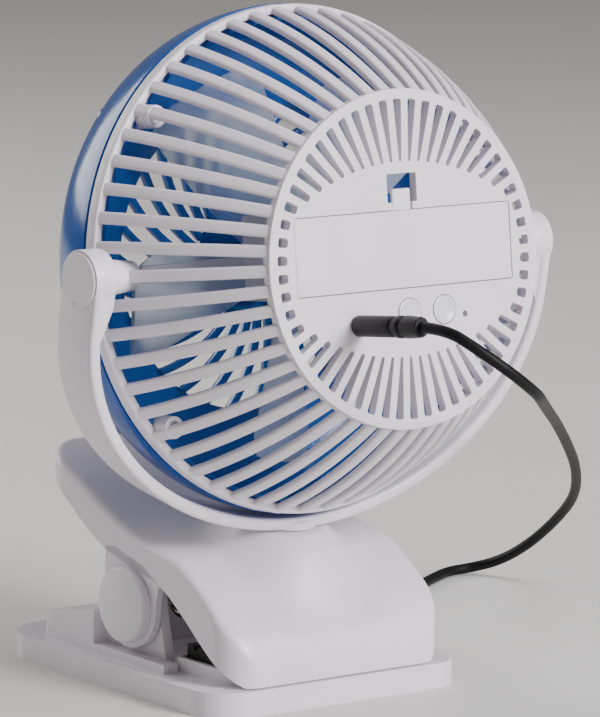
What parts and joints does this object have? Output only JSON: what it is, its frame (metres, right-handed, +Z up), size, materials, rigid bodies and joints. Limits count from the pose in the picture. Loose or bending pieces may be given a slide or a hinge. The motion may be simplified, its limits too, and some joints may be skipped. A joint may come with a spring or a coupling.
{
  "type": "clip-on desk fan",
  "caption": "Round cage fan head tilting in a curved yoke on a spring clip that also stands flat, with a swept front grille, battery door and charging lead.",
  "frame": {"origin": "centre of the rubber sheet under the base, on the surface it stands on", "axes": "+Z up, the fan blows towards -Y, the clip's mouth and the rear plate face +Y, +X towards the lead's plug side"},
  "size_m": [0.249, 0.2719, 0.2041],
  "materials": {
    "white_plastic": "smooth moulded ABS, satin",
    "blue_shell": "tinted moulded plastic, glossy",
    "soft_rubber": "dark green-black rubber, matt",
    "screw_steel": "zinc plated steel",
    "spring_steel": "oiled spring wire",
    "grey_plastic": "moulded ABS, pale grey",
    "cell_wrap": "shrink sleeve",
    "nickel": "nickel plate",
    "board_laminate": "green solder mask",
    "black_plastic": "moulded PVC, satin black",
    "button_plastic": "moulded ABS, satin",
    "led_clear": "clear light pipe",
    "motor_steel": "pressed steel can",
    "blade_plastic": "milky translucent moulding",
    "cable_jacket": "PVC jacket, satin black"
  },
  "bodies": {
    "base": {"base_shell": "white_plastic", "base_cover": "white_plastic", "base_pad": "soft_rubber", "cover_screws": "screw_steel", "lower_jaw_pad": "soft_rubber", "hinge_pin": "screw_steel", "clamp_spring": "spring_steel", "lead_lower": "cable_jacket", "lead_coil": "cable_jacket", "lead_tail": "cable_jacket", "usb_grip": "black_plastic", "usb_shell": "nickel"},
    "jaw": {"upper_jaw": "white_plastic", "upper_jaw_pad": "soft_rubber", "hinge_caps": "white_plastic"},
    "yoke": {"yoke": "white_plastic", "arm_caps": "white_plastic", "swivel_washer": "screw_steel", "swivel_screw": "screw_steel", "lead_middle": "cable_jacket"},
    "head": {"rear_grille": "white_plastic", "pivot_screws": "screw_steel", "grille_screws": "screw_steel", "front_grille": "blue_shell", "front_badge": "white_plastic", "battery_tray": "grey_plastic", "battery_cell": "cell_wrap", "battery_contacts": "nickel", "circuit_board": "board_laminate", "board_screws": "screw_steel", "charging_jack": "black_plastic", "switches": "black_plastic", "status_led": "led_clear", "motor_can": "motor_steel", "motor_mount": "grey_plastic", "plug_tip": "nickel", "plug_grip": "black_plastic", "plug_relief": "black_plastic", "lead_upper": "cable_jacket"},
    "power_button": {"power_button": "button_plastic"},
    "mode_button": {"mode_button": "button_plastic"},
    "battery_door": {"battery_door": "white_plastic"},
    "rotor": {"motor_shaft": "screw_steel", "fan_blade": "blade_plastic", "blade_cap": "blade_plastic"}
  },
  "joints": [
    {"name": "jaw_hinge", "type": "hinge", "parent": "base", "child": "jaw", "pos_m": [0, 0.0031, 0.0249], "axis": [1, 0, 0], "range_deg": [0, 32], "stiffness_Nm_per_rad": 0.9, "springref_deg": -45.84, "deforming": ["clamp_spring", "lead_lower"]},
    {"name": "yoke_swivel", "type": "hinge", "parent": "jaw", "child": "yoke", "pos_m": [0, 0.0377, 0.1302], "axis": [0, 0.1564, 0.9877], "range_deg": [-175, 175], "deforming": ["lead_middle"]},
    {"name": "head_tilt", "type": "hinge", "parent": "yoke", "child": "head", "pos_m": [0, 0.0377, 0.1302], "axis": [1, 0, 0], "range_deg": [-75, 90], "deforming": ["lead_upper"]},
    {"name": "fan_spin", "type": "hinge", "parent": "head", "child": "rotor", "pos_m": [0, 0.0377, 0.1302], "axis": [0, 0.9922, 0.125], "continuous": true},
    {"name": "power_press", "type": "slide", "parent": "head", "child": "power_button", "axis": [0, -0.9922, -0.125], "range_m": [0, 0.0005], "stiffness_N_per_m": 1800, "springref_m": -0.0003},
    {"name": "mode_press", "type": "slide", "parent": "head", "child": "mode_button", "axis": [0, -0.9922, -0.125], "range_m": [0, 0.0005], "stiffness_N_per_m": 1800, "springref_m": -0.0003},
    {"name": "door_hinge", "type": "hinge", "parent": "head", "child": "battery_door", "pos_m": [0, 0.0811, 0.12735], "axis": [-1, 0, 0], "range_deg": [0, 75]}
  ]
}
